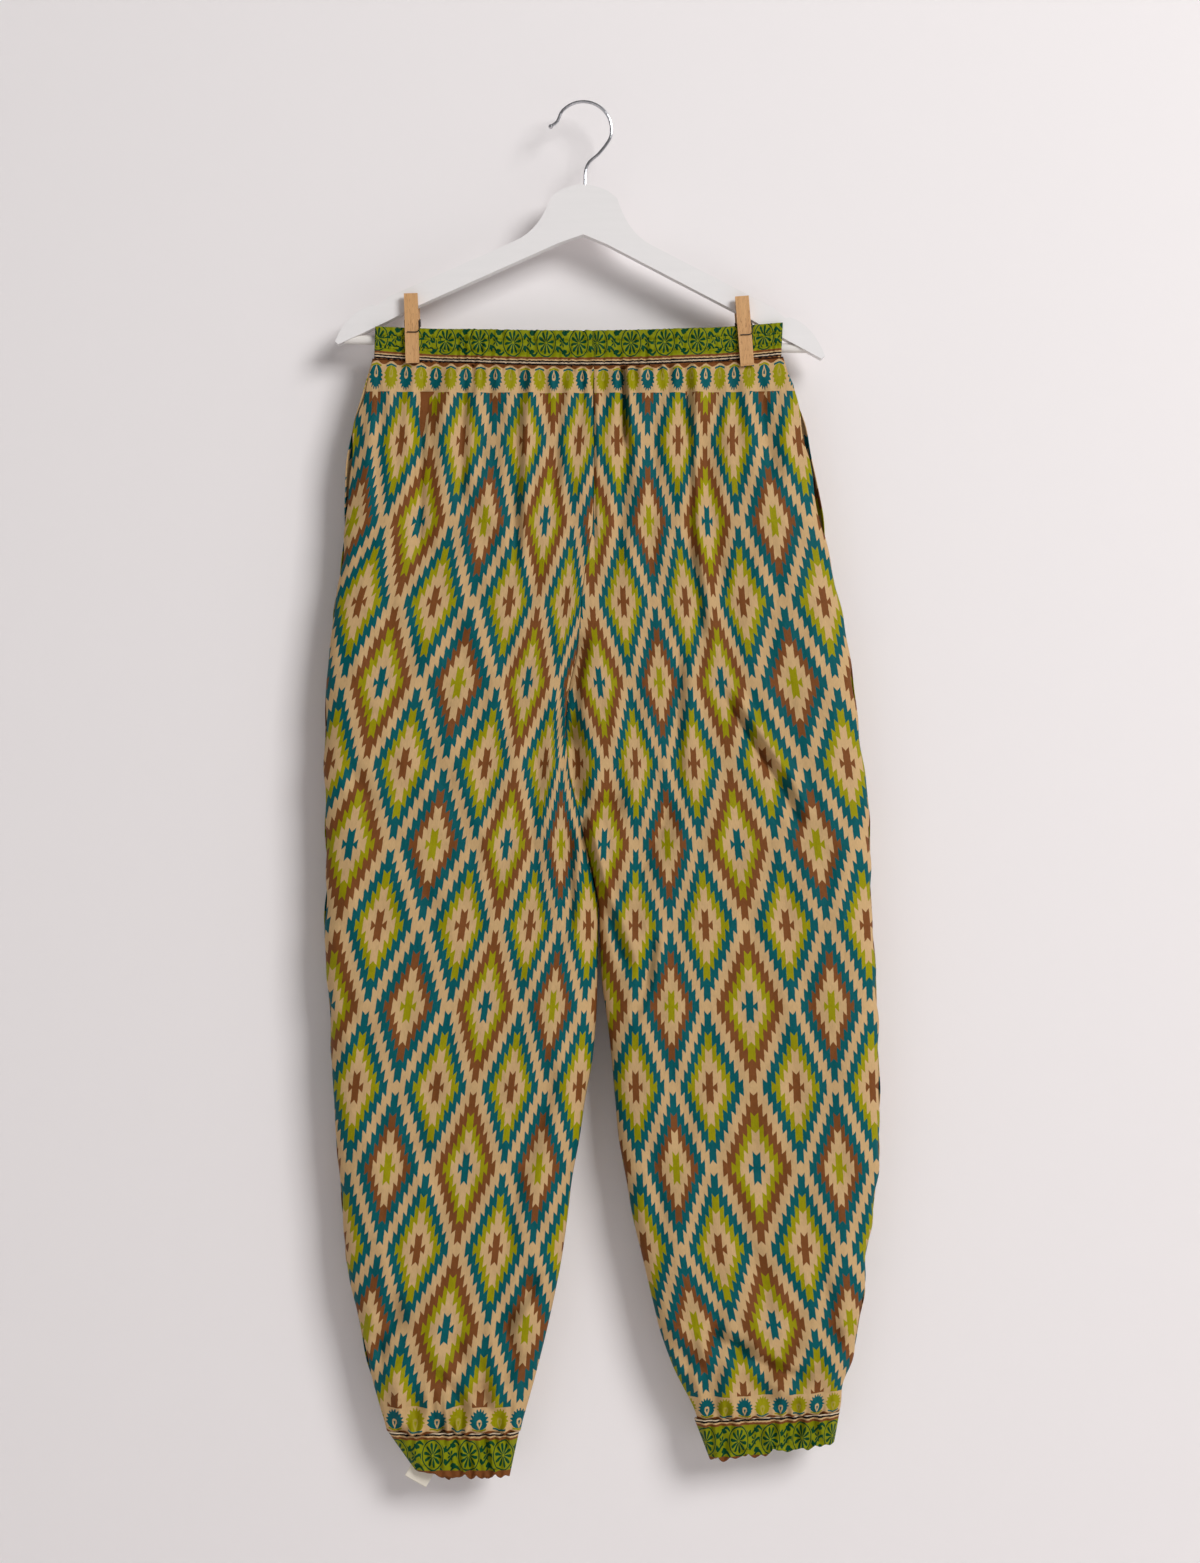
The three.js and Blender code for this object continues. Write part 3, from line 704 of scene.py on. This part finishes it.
def setStage():
    away = stageSettings["cameraAway"]
    cx, cz = stageSettings["centre"]
    camera = bpy.data.objects.new("camera", bpy.data.cameras.new("camera"))
    camera.data.sensor_fit = "VERTICAL"
    camera.data.sensor_height = 36
    camera.data.sensor_width = 36
    camera.data.lens = 36 / (stageSettings["frameHeight"] / away)
    camera.location = (cx, -0.015 - away, cz)
    camera.rotation_euler = (math.pi / 2, 0, 0)
    bpy.context.collection.objects.link(camera)
    bpy.context.scene.camera = camera
    for name, power, size, place in (
        ("key", stageSettings["keyPower"], 2.0, (2.8, -3.7, 1.7)),
        ("fill", stageSettings["fillPower"], 1.8, (-1.6, -2.4, -0.7)),
    ):
        lamp = bpy.data.lights.new(name, "AREA")
        lamp.energy = power
        lamp.size = size
        light = bpy.data.objects.new(name, lamp)
        light.location = place
        aim = Vector((0.0, 0.0, -0.62)) - Vector(place)
        light.rotation_euler = aim.to_track_quat("-Z", "Y").to_euler()
        bpy.context.collection.objects.link(light)
    bpy.context.scene.view_settings.view_transform = "Standard"
    world = bpy.data.worlds.new("sky")
    world.use_nodes = True
    background = world.node_tree.nodes["Background"]
    background.inputs[0].default_value = (1.0, 0.985, 0.98, 1)
    background.inputs[1].default_value = stageSettings["sky"]
    bpy.context.scene.world = world
    wallFinish = Finish("wallPaint", roughness=0.9)
    wallFinish.set("Base Color", linear(250, 245, 245))
    seeThrough = wallFinish.node("ShaderNodeBsdfTransparent")
    backSide = wallFinish.node("ShaderNodeNewGeometry").outputs["Backfacing"]
    mixed = wallFinish.node("ShaderNodeMixShader", None, {0: backSide, 1: wallFinish.shader.outputs[0], 2: seeThrough.outputs[0]})
    wallFinish.links.new(mixed.outputs[0], wallFinish.nodes["Material Output"].inputs[0])
    floorFinish = Finish("floorPaint", roughness=0.9)
    floorFinish.set("Base Color", linear(236, 232, 232))
    for name, finish, turn, place in (
        ("wall", wallFinish, (math.pi / 2, 0, 0), (0, stageSettings["wallY"], -0.2)),
        ("floor", floorFinish, (0, 0, 0), (0, 0, stageSettings["floorZ"])),
    ):
        bm = bmesh.new()
        bmesh.ops.create_grid(bm, x_segments=1, y_segments=1, size=4)
        mesh = bpy.data.meshes.new(name)
        bm.to_mesh(mesh)
        bm.free()
        sheet = bpy.data.objects.new(name, mesh)
        sheet.rotation_euler = turn
        sheet.location = place
        mesh.materials.append(finish.material)
        bpy.context.collection.objects.link(sheet)


setStage()

print("panels")
clothMaterial = printedCloth("printedCrepe")
borderMaterial = printedCloth("printedBorder", borderOnly=True)


def facing(direction):
    return lambda centre: Vector((0, direction, 0))


def makePanel(side, face):
    name = f"{face}_{side}_cloth"
    piece = gridSheet(name, panelStyle["columns"], panelStyle["rows"], panelShape(side, face))
    turnOut(piece, facing(-1 if face == "front" else 1))
    thicken(piece, panelStyle["wall"])
    piece.data.materials.append(clothMaterial)
    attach(piece, "root")
    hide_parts(f"{face}_panel_{side}")
    return piece


for side in ("left", "right"):
    for face in ("front", "back"):
        makePanel(side, face)

print("casings")


def ringShape(ends, faces, heights, seed, ruche, uvOf, round_, pinched, stitchRows=()):
    def shape(s, t):
        x0 = mix(ends[0][0], ends[1][0], t)
        x1 = mix(ends[0][1], ends[1][1], t)
        width = x1 - x0
        isFront = s < 0.5
        along = np.where(isFront, s * 2, 2 - s * 2)
        crowded = along - 0.86 * np.sin(2 * math.pi * along) / (2 * math.pi)
        d = crowded * width
        x = x0 + d
        rise = risen(d, round_) * risen(width - d, round_)
        front = mix(faces[0][0], faces[1][0], t)
        back = mix(faces[0][1], faces[1][1], t)
        if pinched:
            pinch = pinchAt(x, -241 + 0 * x)
            front = mix(front, -10.4, pinch)
        else:
            pinch = 0 * x
        middle = (front + back) / 2
        outY = np.where(isFront, -1, 1)
        around = np.where(isFront, x, 2 * x0 + 900 - x)
        ripple = waveNoise(around, t * 40, seed, ruche["pitch"], 70, 18)
        ripple = ripple + 0.6 * waveNoise(around, t * 40, seed + 3, ruche["pitch"] * 2.3, 90)
        held = 1.0
        for row in stitchRows:
            held = held - 0.75 * np.exp(-((t - row) / 0.045) ** 2)
        relief = ripple * ruche["depth"] * held * rise * (1 - 0.8 * pinch)
        relief = np.minimum(relief, ruche["out"])
        for row in stitchRows:
            relief = relief - ruche["stitch"] * np.exp(-((t - row) / 0.045) ** 2)
        limit = np.where(isFront, 99, ruche["backOut"])
        relief = np.minimum(relief, limit)
        y = mix(middle, np.where(isFront, front, back) + outY * relief, rise)
        top, bottom = heights
        z = mix(top(x), bottom(x), t) + ripple * ruche["edge"] * 0.5 * smooth(0.75, 1, t) * rise
        u, v = uvOf(x, z, isFront)
        return x, y, z, u, v
    return shape


def waistTop(x):
    return -208.5 + np.where(x < 0, 4.5 * (x / 190) ** 2, 8 * (x / 180) ** 2)


def waistUv(x, z, isFront):
    middle = 9.0
    level = z - waistSag(x)
    uLeft = clothU("left", x, level)
    uRight = clothU("right", x, level)
    u = np.where(x < middle, uLeft, uRight) + np.where(isFront, 0, repeatWidth / 2)
    top = waistTop(x)
    seam = -241 + waistSag(x)
    t = (z - top) / (seam - top)
    return u, firstRowZ + mix(208.5, 241.0, t)


waistStyle = {"columns": 680, "rows": 34, "wall": 1.2, "round": 6}
waistRuche = {"pitch": 6.4, "depth": 1.5, "out": 2.4, "backOut": 0.1, "edge": 1.2, "stitch": 2.2}


def makeWaist():
    bottom = lambda x: -240.85 + waistSag(x)
    shape = ringShape(((-188.5, 179.5), (-189.5, 178.0)), ((-15.2, -6.5), (-15.6, -6.5)), (waistTop, bottom), 71,
                      waistRuche, waistUv, waistStyle["round"], True, stitchRows=(0.3, 0.63, 0.97))
    piece = gridSheet("waist_casing_cloth", waistStyle["columns"], waistStyle["rows"], shape, closed=True)
    turnOut(piece, lambda centre: Vector((0, -1 if centre.y < -10.6 * mm else 1, 0)))
    thicken(piece, waistStyle["wall"])
    piece.data.materials.append(borderMaterial)
    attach(piece, "root")
    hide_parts("waist_casing")
    return piece


makeWaist()


def cuffUv(side):
    def uvOf(x, z, isFront):
        seam = cuffSeamZ(side, x)
        u = clothU(side, x, -1203 + 0 * z) + np.where(isFront, 0, repeatWidth / 2)
        middle = -116 if side == "left" else 168
        u = u + (x - middle) * 0.35
        return u, 12 * rowHeight + 26.5 + (seam - z) * 0.92
    return uvOf


cuffStyle = {"columns": 360, "rows": 24, "wall": 1.2, "round": 14}
cuffRuche = {"pitch": 14.0, "depth": 2.3, "out": 3.0, "backOut": 3.0, "edge": 4.5, "stitch": 1.4}
cuffEnds = {"left": ((-177.5, -58.5), (-153, -67)), "right": ((99.5, 231), (113.5, 226))}


def makeCuff(side):
    top = lambda x: cuffSeamZ(side, x) - 0.15
    if side == "left":
        bottom = lambda x: mix(-1236.0, -1241.0, smooth(-153, -120, x))
    else:
        bottom = lambda x: mix(-1227.0, -1211.0, np.clip((x - 112) / 116, 0, 1))
    shape = ringShape(cuffEnds[side], ((-17.6, 3.6), (-15, 1.6)), (top, bottom), 90 + len(side),
                      cuffRuche, cuffUv(side), cuffStyle["round"], False, stitchRows=(0.02, 0.86))
    piece = gridSheet(f"cuff_{side}_cloth", cuffStyle["columns"], cuffStyle["rows"], shape, closed=True)
    turnOut(piece, lambda centre: Vector((0, -1 if centre.y < -6.8 * mm else 1, 0)))
    thicken(piece, cuffStyle["wall"])
    piece.data.materials.append(borderMaterial)
    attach(piece, "root")
    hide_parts(f"cuff_casing_{side}")
    return piece


for side in ("left", "right"):
    makeCuff(side)

print("pockets and label")
bagStyle = {"top": -263, "bottom": -452, "reach": 128, "half": 3.3, "columns": 60, "rows": 60}


def makeBag(side):
    inward = 1 if side == "left" else -1

    def shape(s, t):
        z = mix(float(bagStyle["top"]), float(bagStyle["bottom"]), t)
        outer = sectionAt(side + "Outer", z)
        middle = (sectionAt("front", z) + sectionAt("back", z)) / 2
        lower = smooth(-401, bagStyle["bottom"], z)
        reach = bagStyle["reach"] * np.sqrt(1 - 0.82 * lower ** 2) * mix(1, 0.86, smooth(-320, -263, z))
        half = mix(bagStyle["half"], 1.4, smooth(-300, -263, z))
        angle = math.pi * (s - 0.5)
        bend = np.cos(angle) ** 0.35
        x = outer + inward * (7.2 + (reach - 7.2) * np.clip(bend, 0, 1))
        y = middle + half * np.sin(angle)
        y = y + 0.25 * waveNoise(x, z, 7, 40, 40)
        return x, y, z, x, z
    piece = gridSheet(f"pocket_{side}_cloth", bagStyle["columns"], bagStyle["rows"], shape)
    thicken(piece, 0.6)
    piece.data.materials.append(clothMaterial)
    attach(piece, "root")
    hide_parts(f"pocket_bag_{side}")


for side in ("left", "right"):
    makeBag(side)


def makeLabel():
    low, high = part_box("blank_label")
    tilt = math.radians(30)
    centre = (low + high) / 2 / mm + Vector((-5, 0, -2))

    def shape(s, t):
        a = (s - 0.5) * 22
        b = (0.5 - t) * 27
        x = centre.x + a * math.cos(tilt) + b * math.sin(tilt)
        z = centre.z - a * math.sin(tilt) + b * math.cos(tilt)
        y = centre.y + 0.35 + 0.25 * np.sin(a / 5) * t
        return x, y, z, a, b
    piece = gridSheet("label_cloth", 22, 27, shape)
    turnOut(piece, facing(1))
    thicken(piece, 0.5)
    piece.data.materials.append(plainCloth("labelTape", (232, 224, 208)))
    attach(piece, "root")
    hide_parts("blank_label")


makeLabel()

print("hanger and pegs")
nodeFinishes = {
    "hanger_wood": paintedWood("hangerPaint", (246, 243, 242)),
    "hanger_bar": paintedWood("barPaint", (240, 235, 229)),
    "hanger_hook": metal("hookChrome", (200, 200, 204), 0.16),
}
beech = bareBeech()
springSteel = metal("springWire", (82, 76, 72), 0.34)
for side in ("left", "right"):
    nodeFinishes[f"peg_front_leg_{side}"] = beech
    nodeFinishes[f"peg_back_leg_{side}"] = beech
    nodeFinishes[f"peg_spring_{side}"] = springSteel
for node, material in nodeFinishes.items():
    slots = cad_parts[node].data.materials
    slots.clear()
    slots.append(material)
